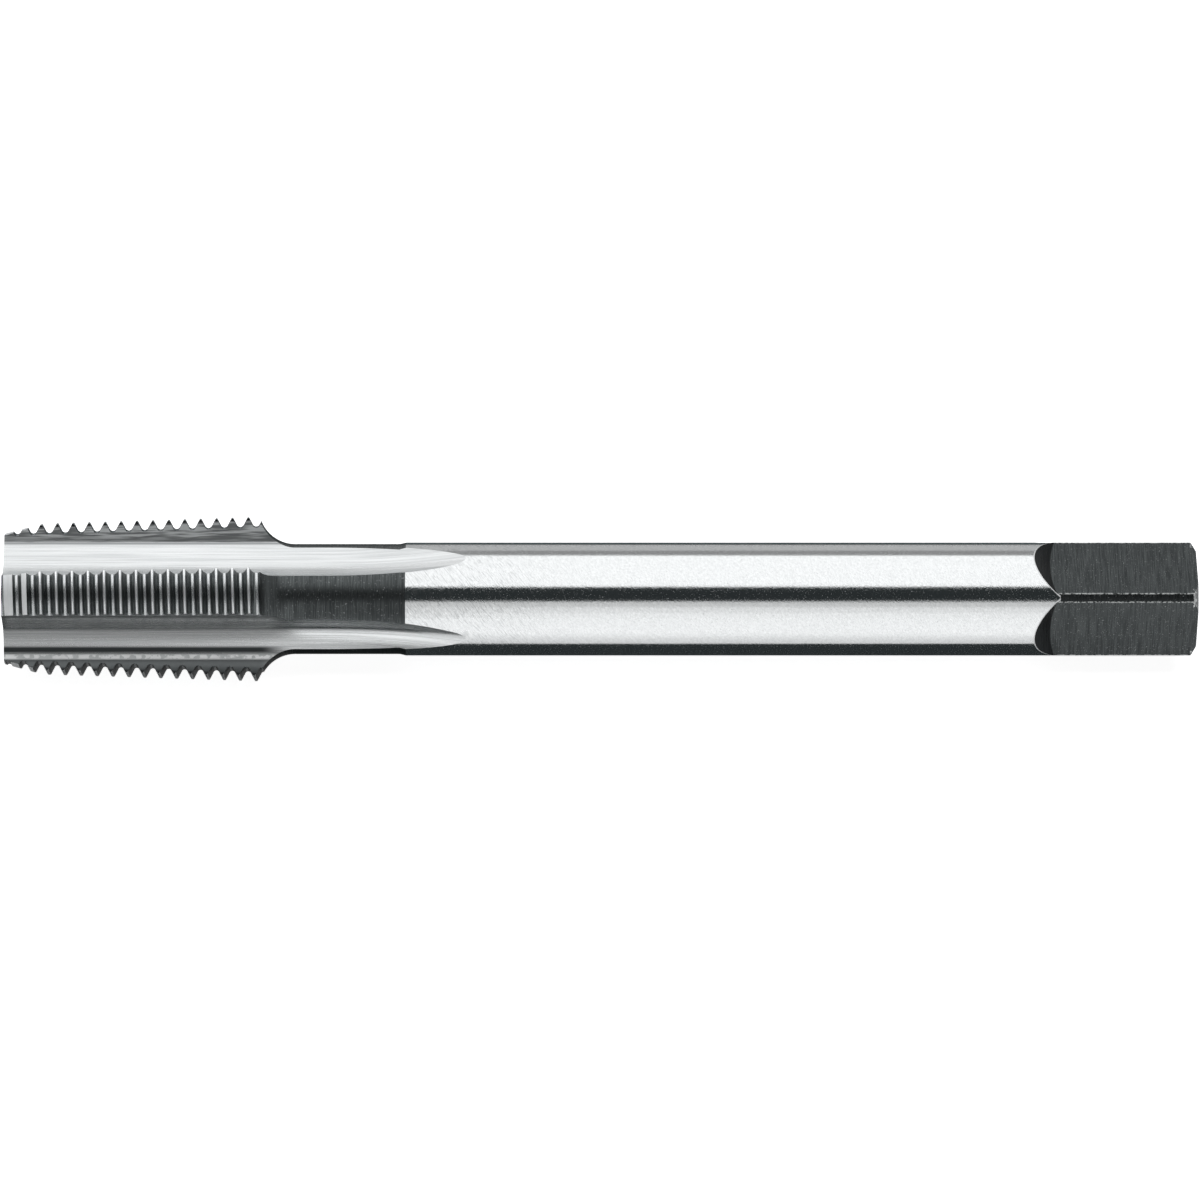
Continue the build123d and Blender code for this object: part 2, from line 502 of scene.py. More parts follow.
# %% Keep edges sharp where two finishes meet
SHARP_ANGLE = radians(26)
tap_mesh.shade_smooth()
tap_mesh.set_sharp_from_angle(angle=SHARP_ANGLE)
finishes_beside = {}
for polygon in tap_mesh.polygons:
    for key in polygon.edge_keys:
        finishes_beside.setdefault(key, set()).add(polygon.material_index)
for line in tap_mesh.edges:
    if len(finishes_beside[line.key]) > 1:
        line.use_edge_sharp = True
print("sharp edges:", sum(line.use_edge_sharp for line in tap_mesh.edges))

# %% [markdown]
# ## Where a pattern sits on a bar
# Most marks on a turned or ground bar run along it or round it. A shader that knows the distance along the
# bar, the way round it and the distance from its axis can draw them all. A node group works these out from
# Object coordinates once, and every finish below uses it. The seam of the angle is at the underside. Lengths
# in the shaders are in millimetres, because the marks are fine.


# %% Helper: short ways to write shader math
def math_node(tree, operation, first, second=None, third=None):
    """A Math node on sockets or plain numbers, giving its output socket."""
    node = add(tree, "ShaderNodeMath", operation=operation)
    for socket, value in zip(node.inputs, (first, second, third)):
        if value is None:
            continue
        if isinstance(value, (int, float)):
            socket.default_value = value
        else:
            tree.links.new(value, socket)
    return node.outputs[0]


def hypotenuse(tree, first, second):
    """The distance that two lengths at right angles make."""
    squares = [math_node(tree, "MULTIPLY", side, side) for side in (first, second)]
    return math_node(tree, "SQRT", math_node(tree, "ADD", *squares))


# %% Helper: masks
def smooth_step(tree, value, start, end):
    """Zero before one value, one after another, and smooth between them."""
    node = add(tree, "ShaderNodeMapRange", interpolation_type="SMOOTHSTEP")
    tree.links.new(value, node.inputs["Value"])
    node.inputs["From Min"].default_value = start
    node.inputs["From Max"].default_value = end
    return node.outputs["Result"]


def fade_out(tree, value, start, end):
    """One before one value, zero after another, and smooth between them."""
    return math_node(tree, "SUBTRACT", 1, smooth_step(tree, value, start, end))


def stripe(tree, value, middle, half_width):
    """One where a value is at the stripe's middle, and zero past its half width."""
    full_share = 0.3
    distance = math_node(tree, "ABSOLUTE", math_node(tree, "SUBTRACT", value, middle))
    return fade_out(tree, distance, full_share * half_width, half_width)


def both(tree, first, second):
    """Where two masks overlap."""
    return math_node(tree, "MULTIPLY", first, second)


# %% Helper: groups
def new_group(name, inputs, outputs):
    """An empty shader group with named sockets, and its two end nodes."""
    tree = bpy.data.node_groups.new(name, "ShaderNodeTree")
    for label, kind, value in inputs:
        tree_input(tree, label, kind, value)
    for label, kind in outputs:
        tree.interface.new_socket(label, in_out="OUTPUT", socket_type=kind)
    return tree, add(tree, "NodeGroupInput"), add(tree, "NodeGroupOutput")


def use_group(tree, group):
    """A group set down in a tree, giving its output sockets."""
    return add(tree, "ShaderNodeGroup", node_tree=group).outputs


# %% Group: place on the bar
def place_on_bar():
    """The distance along the bar, the way round it, and the distance from its axis."""
    outputs = (
        ("Unrolled", "NodeSocketVector"),
        ("Degrees", "NodeSocketFloat"),
        ("Radius", "NodeSocketFloat"),
        ("Along", "NodeSocketFloat"),
    )
    tree, _, out = new_group("place_on_bar", (), outputs)
    link = tree.links.new
    coordinates = add(tree, "ShaderNodeTexCoord")
    parts = add(tree, "ShaderNodeSeparateXYZ")
    link(coordinates.outputs["Object"], parts.inputs[0])
    x, y, z = parts.outputs
    along = math_node(tree, "MULTIPLY", x, 1 / MM)
    angle = math_node(tree, "ARCTAN2", y, z)
    unrolled = add(tree, "ShaderNodeCombineXYZ")
    link(along, unrolled.inputs["X"])
    link(math_node(tree, "MULTIPLY", angle, SHANK_RADIUS / MM), unrolled.inputs["Y"])
    link(unrolled.outputs[0], out.inputs["Unrolled"])
    from_top = math_node(tree, "MULTIPLY", angle, degrees(1))
    link(math_node(tree, "SUBTRACT", 90, from_top), out.inputs["Degrees"])
    link(math_node(tree, "MULTIPLY", hypotenuse(tree, y, z), 1 / MM), out.inputs["Radius"])
    link(along, out.inputs["Along"])
    return tree


place_group = place_on_bar()
print("place on bar:", len(place_group.nodes), "nodes")


# %% Group: marks of a tool
BAND_SPREAD = 4


def tool_marks():
    """Streaks at an angle to the axis: fine lines, with broader bands under them."""
    inputs = (
        ("Spacing", "NodeSocketFloat", 0.1),
        ("Length", "NodeSocketFloat", 3.0),
        ("Slant", "NodeSocketFloat", 0.0),
        ("Fine share", "NodeSocketFloat", 0.6),
    )
    tree, given, out = new_group("tool_marks", inputs, (("Marks", "NodeSocketFloat"),))
    link = tree.links.new
    turn = add(tree, "ShaderNodeVectorRotate", rotation_type="Z_AXIS")
    link(use_group(tree, place_group)["Unrolled"], turn.inputs["Vector"])
    link(given.outputs["Slant"], turn.inputs["Angle"])
    layers = []
    for spread in (1, BAND_SPREAD):
        frequency = add(tree, "ShaderNodeCombineXYZ")
        for label, axis in (("Spacing", "X"), ("Length", "Y")):
            size = math_node(tree, "MULTIPLY", given.outputs[label], spread)
            link(math_node(tree, "DIVIDE", 1, size), frequency.inputs[axis])
        stretch = add(tree, "ShaderNodeVectorMath", operation="MULTIPLY")
        link(turn.outputs[0], stretch.inputs[0])
        link(frequency.outputs[0], stretch.inputs[1])
        noise = add(tree, "ShaderNodeTexNoise", noise_dimensions="2D")
        noise.inputs["Scale"].default_value = 1
        noise.inputs["Detail"].default_value = 2
        link(stretch.outputs[0], noise.inputs["Vector"])
        layers.append(noise.outputs["Fac"])
    fine, broad = layers
    mix = add(tree, "ShaderNodeMix")
    link(given.outputs["Fine share"], mix.inputs["Factor"])
    link(broad, mix.inputs["A"])
    link(fine, mix.inputs["B"])
    link(mix.outputs["Result"], out.inputs["Marks"])
    return tree


marks_group = tool_marks()
print("tool marks:", len(marks_group.nodes), "nodes")


# %% Group: depth under the thread's crests
def crest_depth():
    """Millimetres below the cone over the crests."""
    tree, _, out = new_group("crest_depth", (), (("Depth", "NodeSocketFloat"),))
    place = use_group(tree, place_group)
    grown = math_node(tree, "MULTIPLY_ADD", place["Along"], TAPER / 2, crest_radius(0) / MM)
    tree.links.new(math_node(tree, "SUBTRACT", grown, place["Radius"]), out.inputs["Depth"])
    return tree


depth_group = crest_depth()
print("crest depth:", len(depth_group.nodes), "nodes")

# %% Group: place in a flute
QUARTER = 360 / FLUTES
HOOK_SIDE_DEGREES = (3, 8)
HEEL_SIDE_DEGREES = (-10, -5)
HEEL_BROW_RADII = (4.76, 4.90)
HEEL_WALL_RADII = (4.93, 4.97)


def from_nearest_flute(tree, place):
    """Degrees round from the middle of the nearest flute, which is also the middle of a flat."""
    turned_by = math_node(tree, "ADD", place["Degrees"], QUARTER / 2 - degrees(CLOCKING) + 360)
    return math_node(tree, "SUBTRACT", math_node(tree, "MODULO", turned_by, QUARTER), QUARTER / 2)


def place_in_flute():
    """The cutting face is on a flute's positive side. The heel's brow and wall are on its negative side."""
    outputs = (
        ("Hook side", "NodeSocketFloat"),
        ("Heel wall", "NodeSocketFloat"),
        ("Heel brow", "NodeSocketFloat"),
    )
    tree, _, out = new_group("place_in_flute", (), outputs)
    place = use_group(tree, place_group)
    folded = from_nearest_flute(tree, place)
    heel = fade_out(tree, folded, *HEEL_SIDE_DEGREES)
    wall = smooth_step(tree, place["Radius"], *HEEL_WALL_RADII)
    brow = math_node(tree, "SUBTRACT", smooth_step(tree, place["Radius"], *HEEL_BROW_RADII), wall)
    tree.links.new(smooth_step(tree, folded, *HOOK_SIDE_DEGREES), out.inputs["Hook side"])
    tree.links.new(both(tree, heel, wall), out.inputs["Heel wall"])
    tree.links.new(both(tree, heel, brow), out.inputs["Heel brow"])
    return tree


flute_group = place_in_flute()
print("place in flute:", len(flute_group.nodes), "nodes")

# %% Group: edges of the square
# Widths, and the starts and ends of fades, from the place that each belongs to.
OUTSIDE_FADE = (-0.14, -0.05)
CORNER_WIDTH = 0.085
CORNER_FADE = (0.5, 0.7)
RIM_WIDTH = 0.13
RIM_REACH = 1.2
RAMP_FADE = (0, 0.1)
OFF_FLAT_FADE = (0.02, 0.06)
END_WIDTH = 0.10
END_RADII = (4.3, 4.5)


def fade_from(place, fade):
    """The start and end of a fade, counted from a place."""
    return place + fade[0], place + fade[1]


def square_edges():
    """Where the flats, ramps and end chamfer break the outside of the bar, and the ramps themselves."""
    labels = ("Corners", "Rims", "End", "Ramps")
    tree, _, out = new_group("square_edges", (), [(label, "NodeSocketFloat") for label in labels])
    place = use_group(tree, place_group)
    along, radius = place["Along"], place["Radius"]
    start, shank = SQUARE_START / MM, SHANK_RADIUS / MM
    flat, mill_size, ground_end = FLAT_DISTANCE / MM, MILL_RADIUS / MM, SHANK_GROUND_END / MM
    folded = math_node(tree, "ABSOLUTE", from_nearest_flute(tree, place))
    folded = math_node(tree, "MULTIPLY", folded, radians(1))
    outside = smooth_step(tree, radius, *fade_from(shank, OUTSIDE_FADE))

    # The corner, rim and end masks below place painted highlights in the finishes.
    corner_angle = acos(FLAT_DISTANCE / SHANK_RADIUS)
    corner = math_node(tree, "MULTIPLY", math_node(tree, "SUBTRACT", folded, corner_angle), shank)
    on_square = smooth_step(tree, along, *fade_from(start, CORNER_FADE))
    corners = both(tree, stripe(tree, corner, 0, CORNER_WIDTH), on_square)
    tree.links.new(both(tree, corners, outside), out.inputs["Corners"])

    out_from_axis = math_node(tree, "MULTIPLY", radius, math_node(tree, "COSINE", folded))
    sideways = math_node(tree, "MULTIPLY", radius, math_node(tree, "SINE", folded))
    lengthways = math_node(tree, "SUBTRACT", along, start + mill_size)
    slope = 1 / tan(RAMP_ANGLE)
    cone = math_node(tree, "MULTIPLY_ADD", out_from_axis, slope, mill_size - flat * slope)
    rims = stripe(tree, hypotenuse(tree, sideways, lengthways), cone, RIM_WIDTH)
    rims = both(tree, both(tree, rims, outside), math_node(tree, "LESS_THAN", along, start + RIM_REACH))
    tree.links.new(rims, out.inputs["Rims"])

    ramps = fade_out(tree, along, *fade_from(ground_end, RAMP_FADE))
    ramps = both(tree, ramps, smooth_step(tree, out_from_axis, *fade_from(flat, OFF_FLAT_FADE)))
    tree.links.new(ramps, out.inputs["Ramps"])

    end = stripe(tree, along, (LENGTH - END_CHAMFER_LENGTH) / MM, END_WIDTH)
    tree.links.new(both(tree, end, smooth_step(tree, radius, *END_RADII)), out.inputs["End"])
    return tree


edges_group = square_edges()
print("square edges:", len(edges_group.nodes), "nodes")


# %% Helper: streaks, specks and broken edges
def streaks(tree, marks, start, end):
    """Tool marks, cut to their stronger lines."""
    pattern = add(tree, "ShaderNodeGroup", node_tree=marks_group)
    for label, value in zip(("Spacing", "Length", "Slant", "Fine share"), marks):
        pattern.inputs[label].default_value = value
    return smooth_step(tree, pattern.outputs["Marks"], start, end)


def specks(tree, size, start, end, detail=1):
    """Small round spots, scattered over a surface."""
    noise = add(tree, "ShaderNodeTexNoise")
    noise.inputs["Scale"].default_value = 1 / (size * MM)
    noise.inputs["Detail"].default_value = detail
    tree.links.new(add(tree, "ShaderNodeTexCoord").outputs["Object"], noise.inputs["Vector"])
    return smooth_step(tree, noise.outputs["Fac"], start, end)


def broken(tree, mask, size, start, end):
    """Breaks a mask up with spots, so that a painted highlight comes and goes."""
    return both(tree, mask, specks(tree, size, start, end, detail=2))


# %% Helper: a finish from marks
MARK_RANGE = (0.3, 0.7)


def finish_steel(name, shades, roughness, bump, marks):
    """Fills a material: marks move its colour between two shades, its roughness, and a small bump."""
    tree = materials[name].node_tree
    shader = tree.nodes["Principled BSDF"]
    shader.inputs["Metallic"].default_value = 1
    strength = streaks(tree, marks, *MARK_RANGE)
    shade = add(tree, "ShaderNodeMix", data_type="RGBA")
    gloss = add(tree, "ShaderNodeMix")
    for mix, values, label in ((shade, shades, "Base Color"), (gloss, roughness, "Roughness")):
        tree.links.new(strength, mix.inputs["Factor"])
        for end, value in zip(("A", "B"), values):
            mix.inputs[end].default_value = (*value, 1) if mix is shade else value
        tree.links.new(mix.outputs["Result"], shader.inputs[label])
    relief = add(tree, "ShaderNodeBump")
    relief.inputs["Distance"].default_value = bump * MM
    tree.links.new(strength, relief.inputs["Height"])
    tree.links.new(relief.outputs["Normal"], shader.inputs["Normal"])
    return tree, shader


# %% Helper: a second tone through a mask
def lay_over(tree, shader, mask, colour, roughness=None, metallic=None):
    """Mixes another colour, and another roughness or metallic look, over what a material has so far."""
    for label, value in (("Base Color", colour), ("Roughness", roughness), ("Metallic", metallic)):
        if value is None:
            continue
        socket = shader.inputs[label]
        kind = "RGBA" if label == "Base Color" else "FLOAT"
        over = add(tree, "ShaderNodeMix", data_type=kind)
        first, second = [entry for entry in over.inputs if entry.enabled and entry.name in ("A", "B")]
        if socket.is_linked:
            tree.links.new(socket.links[0].from_socket, first)
        else:
            first.default_value = socket.default_value
        second.default_value = (*value, 1) if kind == "RGBA" else value
        tree.links.new(mask, over.inputs["Factor"])
        result = [entry for entry in over.outputs if entry.enabled][0]
        tree.links.new(result, socket)


# %% [markdown]
# ## The finish of the thread
# The thread is ground last, so its crests are bright. Its flanks are painted darker, as painted shade, and a
# narrow line of painted highlight follows the root and each edge. Stripes could be painted along the helix.
# Masks by the depth under the crests are simpler, because they follow every turn by themselves.
#
# Marks are given as spacing, length, slant in radians and share of fine lines. Shades and roughness are given
# for the dark marks first and for the light ones second.

# %% Thread and land finishes
ALONG = 0.5 * pi
ROUND = 0.0
FULL_DEPTH = THREAD_DEPTH / MM
LAND_MARKS = (0.05, 2.0, ROUND, 0.6)
ROOT_HIGHLIGHT_DEPTHS = (FULL_DEPTH - 0.03, FULL_DEPTH - 0.004)
EDGE_HIGHLIGHT_DEPTHS = (0.09, 0.18)


def thread_finish():
    """Flanks painted dark as shade, with a painted highlight along the root and beside each crest."""
    # The dark shades of the flanks are painted shade.
    tree, shader = finish_steel(
        "thread_ground",
        shades=((0.13, 0.14, 0.142), (0.22, 0.236, 0.238)),
        roughness=(0.32, 0.20),
        bump=0.001,
        marks=LAND_MARKS,
    )
    depth = use_group(tree, depth_group)["Depth"]
    # The light root line and the light line beside each crest are painted highlights.
    root = smooth_step(tree, depth, *ROOT_HIGHLIGHT_DEPTHS)
    edge = fade_out(tree, depth, *EDGE_HIGHLIGHT_DEPTHS)
    lay_over(tree, shader, root, (0.66, 0.68, 0.69), 0.26, 0.9)
    lay_over(tree, shader, edge, (0.88, 0.90, 0.91), 0.28, 0.8)


def land_finishes():
    """Bright crests, and the softer chamfer that is ground over the first of them."""
    crest = ("crest_ground", ((0.84, 0.86, 0.87), (0.94, 0.96, 0.97)), (0.31, 0.24), 0.8)
    lead = ("lead_ground", ((0.84, 0.86, 0.87), (0.95, 0.97, 0.98)), (0.46, 0.36), 0.45)
    for name, shades, roughness, metallic in (crest, lead):
        _, shader = finish_steel(name, shades, roughness, 0.001, LAND_MARKS)
        shader.inputs["Metallic"].default_value = metallic


thread_finish()
land_finishes()
print("thread and lands filled")

# %% [markdown]
# ## The finish of the flutes
# A flute is ground along its length, and its marks run that way. The floor is light, and the wall on the
# heel's side is streaked, with painted shade along its brow and its foot. The cutting teeth are painted dark
# as shade, and a line of painted shade and a line of painted reflection run along the hollow face under them.
# That face gets steadily farther from the axis, so each line is a stripe between two radii.

# %% Flute finish
# Stripes are given by the radius of their middle and their half width.
# The wall's foot, the dark line, the teeth and their tips get painted shade. The bright line and its core are
# a painted reflection.
WALL_FOOT_SHADE = (5.13, 0.31)
SHADE_LINE = (4.67, 0.33)
REFLECTION_LINE = (5.23, 0.31)
REFLECTION_CORE = (5.21, 0.24)
TOOTH_SHADE_RADII = (5.34, 5.46)
TOOTH_SHADE_DEPTHS = (FULL_DEPTH - 0.10, FULL_DEPTH + 0.15)
TIP_SHADE_DEPTHS = (0.12, 0.36)
TEETH_END = (21.5, 24.5)


def flute_finish():
    """A light floor, a streaked heel wall with painted shade on its brow and foot, teeth painted dark as
    shade, and a painted shade line and a painted reflection line under them.
    """
    tree, shader = finish_steel(
        "flute_ground",
        shades=((0.52, 0.535, 0.54), (0.66, 0.675, 0.68)),
        roughness=(0.34, 0.20),
        bump=0.002,
        marks=(0.06, 6.0, ALONG, 0.45),
    )
    place = use_group(tree, place_group)
    in_flute = use_group(tree, flute_group)
    depth = use_group(tree, depth_group)["Depth"]
    radius, wall = place["Radius"], in_flute["Heel wall"]
    lay_over(tree, shader, wall, (0.68, 0.70, 0.705), 0.36)
    # The darker stripe at the foot of the heel wall is painted shade.
    lay_over(tree, shader, both(tree, wall, stripe(tree, radius, *WALL_FOOT_SHADE)), (0.42, 0.435, 0.44))
    wall_streaks = both(tree, wall, streaks(tree, (0.055, 3.4, ALONG, 0.75), 0.44, 0.6))
    lay_over(tree, shader, wall_streaks, (0.27, 0.28, 0.285), 0.32)
    # The darker brow of the heel is painted shade.
    lay_over(tree, shader, in_flute["Heel brow"], (0.25, 0.26, 0.265), 0.30)

    under_teeth = both(tree, fade_out(tree, place["Along"], *TEETH_END), in_flute["Hook side"])
    # The cutting teeth and their tips are painted dark, as painted shade.
    tooth_shade = fade_out(tree, depth, *TOOTH_SHADE_DEPTHS)
    tooth_shade = math_node(tree, "MAXIMUM", tooth_shade, smooth_step(tree, radius, *TOOTH_SHADE_RADII))
    lay_over(tree, shader, both(tree, tooth_shade, under_teeth), (0.11, 0.118, 0.12), 0.32)
    lay_over(tree, shader, fade_out(tree, depth, *TIP_SHADE_DEPTHS), (0.035, 0.038, 0.039), 0.28)
    # A line of painted shade, then a line of painted reflection with a broken bright core.
    shade_line = both(tree, stripe(tree, radius, *SHADE_LINE), under_teeth)
    lay_over(tree, shader, shade_line, (0.038, 0.042, 0.043), 0.30)
    reflection_line = both(tree, stripe(tree, radius, *REFLECTION_LINE), under_teeth)
    lay_over(tree, shader, reflection_line, (0.68, 0.70, 0.70), 0.56)
    reflection_core = both(tree, stripe(tree, radius, *REFLECTION_CORE), under_teeth)
    lay_over(tree, shader, broken(tree, reflection_core, 0.5, 0.42, 0.52), (0.99, 0.995, 0.995), 0.65)


flute_finish()
print("flutes filled")

# %% [markdown]
# ## The finish of the neck and the shank
# The neck is only turned, and it stays dark. The shank is ground bright, which leaves short slanting marks,
# and it is scratched next to the neck. The scratches could be drawn one by one. Stretched noise makes them
# all at once and stays sharp close up.

# %% Neck and shank finishes
SCRATCHES_END = (40, 50)


def neck_finish():
    """Turned and left dark, with a few light specks."""
    tree, shader = finish_steel(
        "neck_turned",
        shades=((0.046, 0.051, 0.052), (0.094, 0.103, 0.104)),
        roughness=(0.40, 0.25),
        bump=0.004,
        marks=(0.07, 3.0, ROUND, 0.7),
    )
    lay_over(tree, shader, specks(tree, 0.12, 0.68, 0.74), (0.30, 0.31, 0.32), 0.5)


def shank_finish():
    """Ground bright with short slanting marks, scratched near the neck, with a painted highlight on the rim
    round each ramp.
    """
    tree, shader = finish_steel(
        "shank_ground",
        shades=((0.61, 0.625, 0.63), (0.72, 0.735, 0.74)),
        roughness=(0.12, 0.07),
        bump=0.0016,
        marks=(0.065, 0.24, -0.6, 0.7),
    )
    near_neck = fade_out(tree, use_group(tree, place_group)["Along"], *SCRATCHES_END)
    scratches = both(tree, near_neck, streaks(tree, (0.10, 0.9, -0.65, 0.9), 0.54, 0.66))
    lay_over(tree, shader, scratches, (0.54, 0.555, 0.56), 0.17)
    lay_over(tree, shader, specks(tree, 0.085, 0.66, 0.73), (0.50, 0.515, 0.52), 0.38)
    # The light rim round each ramp is a painted highlight.
    lay_over(tree, shader, use_group(tree, edges_group)["Rims"], (0.8, 0.81, 0.82), 0.5, 0.3)


neck_finish()
shank_finish()
print("neck and shank filled")


# %% [markdown]
# ## The finish of the square
# The square is milled and keeps a dark skin. A painted highlight runs as a thin bright line along its corner
# edges and the rim of the end. It could be painted by hand. Here the distance to each edge is worked out from
# the square's own sizes, and noise breaks the bright line up.

# %% Square and end finishes
def square_finish():
    """Milled dark, with darker ramps, and a painted highlight along the corner edges and the end's rim."""
    tree, shader = finish_steel(
        "square_milled",
        shades=((0.036, 0.040, 0.041), (0.060, 0.066, 0.067)),
        roughness=(0.42, 0.25),
        bump=0.004,
        marks=(0.09, 3.0, ROUND, 0.7),
    )
    lay_over(tree, shader, specks(tree, 0.10, 0.66, 0.74), (0.20, 0.21, 0.21), 0.5)
    edges = use_group(tree, edges_group)
    lay_over(tree, shader, edges["Ramps"], (0.015, 0.017, 0.018))
    # The bright corner edges and the bright line at the end are painted highlights.
    lay_over(tree, shader, broken(tree, edges["Corners"], 0.22, 0.40, 0.60), (0.52, 0.54, 0.54), 0.5, 0.2)
    lay_over(tree, shader, broken(tree, edges["End"], 0.25, 0.45, 0.6), (0.62, 0.64, 0.64), 0.5, 0.2)


def end_finish():
    """Turned ends, with a painted highlight on the rim of the driving end."""
    tree, shader = finish_steel(
        "ends_turned",
        shades=((0.06, 0.065, 0.066), (0.12, 0.125, 0.126)),
        roughness=(0.40, 0.25),
        bump=0.003,
        marks=(0.09, 3.0, ROUND, 0.7),
    )
    place = use_group(tree, place_group)
    driving_half = math_node(tree, "GREATER_THAN", place["Along"], LENGTH / 2 / MM)
    # The bright rim is a painted highlight.
    rim = both(tree, smooth_step(tree, place["Radius"], *END_RADII), driving_half)
    lay_over(tree, shader, broken(tree, rim, 0.22, 0.44, 0.60), (0.55, 0.57, 0.57), 0.5, 0.2)


square_finish()
end_finish()
print("square and ends filled")

# %% [markdown]
# ## The camera
# A long lens from two thirds of a metre keeps the bar's edges almost parallel. The image is one square frame
# with the bar lying across it, seen from forty degrees above the floor.

# %% The camera
IMAGE_SIZE = 1200
LENGTH_IN_IMAGE = 1189.5
PIXEL = LENGTH / LENGTH_IN_IMAGE
DISTANCE = 7870 * PIXEL
SIGHT = radians(40.3)
NOSE_COLUMN = 5.5
AXIS_ROW = 599
back = Vector((0, -cos(SIGHT), sin(SIGHT)))
up = Vector((0, sin(SIGHT), cos(SIGHT)))
aim = Vector((tap_low[0] + (IMAGE_SIZE / 2 - NOSE_COLUMN) * PIXEL, 0, 0))
aim -= up * (IMAGE_SIZE / 2 - AXIS_ROW) * PIXEL
lens = bpy.data.cameras.new("camera")
lens.sensor_width = 36
lens.lens = lens.sensor_width * DISTANCE / (IMAGE_SIZE * PIXEL)
lens.clip_start, lens.clip_end = 0.01, 10
camera = bpy.data.objects.new("camera", lens)
camera.location = aim + back * DISTANCE
camera.rotation_euler = (-back).to_track_quat("-Z", "Y").to_euler()
bpy.context.scene.collection.objects.link(camera)
bpy.context.scene.camera = camera
print("camera", round(DISTANCE, 3), "m away, lens", round(lens.lens, 1))

# %% [markdown]
# ## The studio
# Bright steel shows whatever stands round it. Two softboxes, one above and one low in front in three steps,
# give the broad white bands. Black, grey and white cards between them, behind the bar and on the floor give
# the darker ones, as a photographer sets them for metal. The cards are seen only in the steel, so the floor
# and its shadow stay plain. Heights are in degrees round the bar: level in front is 0, straight up is 90 and
# level behind is 180.

# %% Helper: softboxes
bar_middle = Vector((tap_low[0] + LENGTH / 2, 0, 0))


def facing_bar(low, high, distance):
    """Centre, tilt and width of a flat panel that covers a range of heights."""
    middle, half = radians((low + high) / 2), radians((high - low) / 2)
    centre = bar_middle + Vector((0, -cos(middle), sin(middle))) * distance
    return centre, pi / 2 - middle, 2 * distance * tan(half)


def softbox(name, low, high, distance, length, brightness):
    """An even area light over a range of heights."""
    centre, tilt, width = facing_bar(low, high, distance)
    light = bpy.data.lights.new(name, "AREA")
    light.shape = "RECTANGLE"
    light.size, light.size_y = length, width
    light.energy = brightness * pi * length * width
    lamp = bpy.data.objects.new(name, light)
    lamp.location, lamp.rotation_euler = centre, (tilt, 0, 0)
    bpy.context.scene.collection.objects.link(lamp)
    print(name, "from", low, "to", high, "degrees,", round(light.energy, 2), "W")


# %% Helper: cards
WHITE = (1, 1, 1)
STEEL_BLUE = (0.84, 1.0, 1.04)


def card(name, corners, shade, tint=WHITE, reach=None):
    """A flat card that only the steel sees. A reach (near y, far y, far shade) grades it from its edge."""
    material = bpy.data.materials.new(name)
    material.use_nodes = True
    tree = material.node_tree
    tree.nodes.clear()
    glow = add(tree, "ShaderNodeEmission")
    if reach:
        near_y, far_y, far_shade = reach
        place = add(tree, "ShaderNodeSeparateXYZ")
        tree.links.new(add(tree, "ShaderNodeTexCoord").outputs["Object"], place.inputs[0])
        grade = smooth_step(tree, place.outputs["Y"], near_y, far_y)
        strength = math_node(tree, "MULTIPLY_ADD", grade, far_shade - shade, shade)
        glow.inputs["Color"].default_value = (*tint, 1)
        tree.links.new(strength, glow.inputs["Strength"])
    else:
        glow.inputs["Color"].default_value = (*[shade * part for part in tint], 1)
    tree.links.new(glow.outputs[0], add(tree, "ShaderNodeOutputMaterial").inputs["Surface"])
    made = solid(name, corners, [list(range(len(corners)))], [material])
    made.visible_camera = made.visible_diffuse = made.visible_shadow = False


def rectangle(x_range, y_range, z):
    """The corners of a level rectangle."""
    (left, right), (front, rear) = x_range, y_range
    return [(left, front, z), (right, front, z), (right, rear, z), (left, rear, z)]


def card_at(name, low, high, distance, x_range, shade, tint=WHITE):
    """A card over a range of heights and a range along the bar."""
    centre, tilt, width = facing_bar(low, high, distance)
    turn = Matrix.Rotation(tilt, 4, "X")
    flat = rectangle([x - bar_middle.x for x in x_range], (-width / 2, width / 2), 0)
    card(name, [centre + turn @ Vector(corner) for corner in flat], shade, tint)


# %% Lights and cards
FLOOR_LINE = -0.6
FRONT_TOP = 35.4
ABOVE_START = 64.6
ABOVE_END = 140.9
EDGE_END = 157.0
BEHIND_END = 179.0
CARD_DISTANCE = 0.45
WIDE = (-550 * MM, 650 * MM)
softbox("softbox_above", ABOVE_START, ABOVE_END, distance=0.5, length=0.8, brightness=1.34)
softbox("softbox_front_1", FLOOR_LINE, 12, distance=0.8, length=1.0, brightness=1.15)
softbox("softbox_front_2", 12, 24, distance=0.8, length=1.0, brightness=1.0)
softbox("softbox_front_3", 24, FRONT_TOP, distance=0.8, length=1.0, brightness=0.74)
card_at("card_between", FRONT_TOP, ABOVE_START, CARD_DISTANCE, WIDE, 0.034, STEEL_BLUE)
card_at("card_edge", ABOVE_END, EDGE_END, CARD_DISTANCE, WIDE, 0.36)
card_at("card_behind", EDGE_END, BEHIND_END, CARD_DISTANCE, WIDE, 0.60)
card_at("card_behind_thread", ABOVE_END, 172.0, CARD_DISTANCE - 0.01, (-200 * MM, 8 * MM), 1.1)
card_at("card_front_of_thread", FLOOR_LINE, 22.0, CARD_DISTANCE, (-200 * MM, 4 * MM), 0.30)

# %% [markdown]
# ## The room and the floor
# The tap lies on a white floor in a dim room. A plain white floor would light the steel from below, so the
# floor and the room are white to the camera, and the reflections in the steel see a darker floor with cards
# on it.

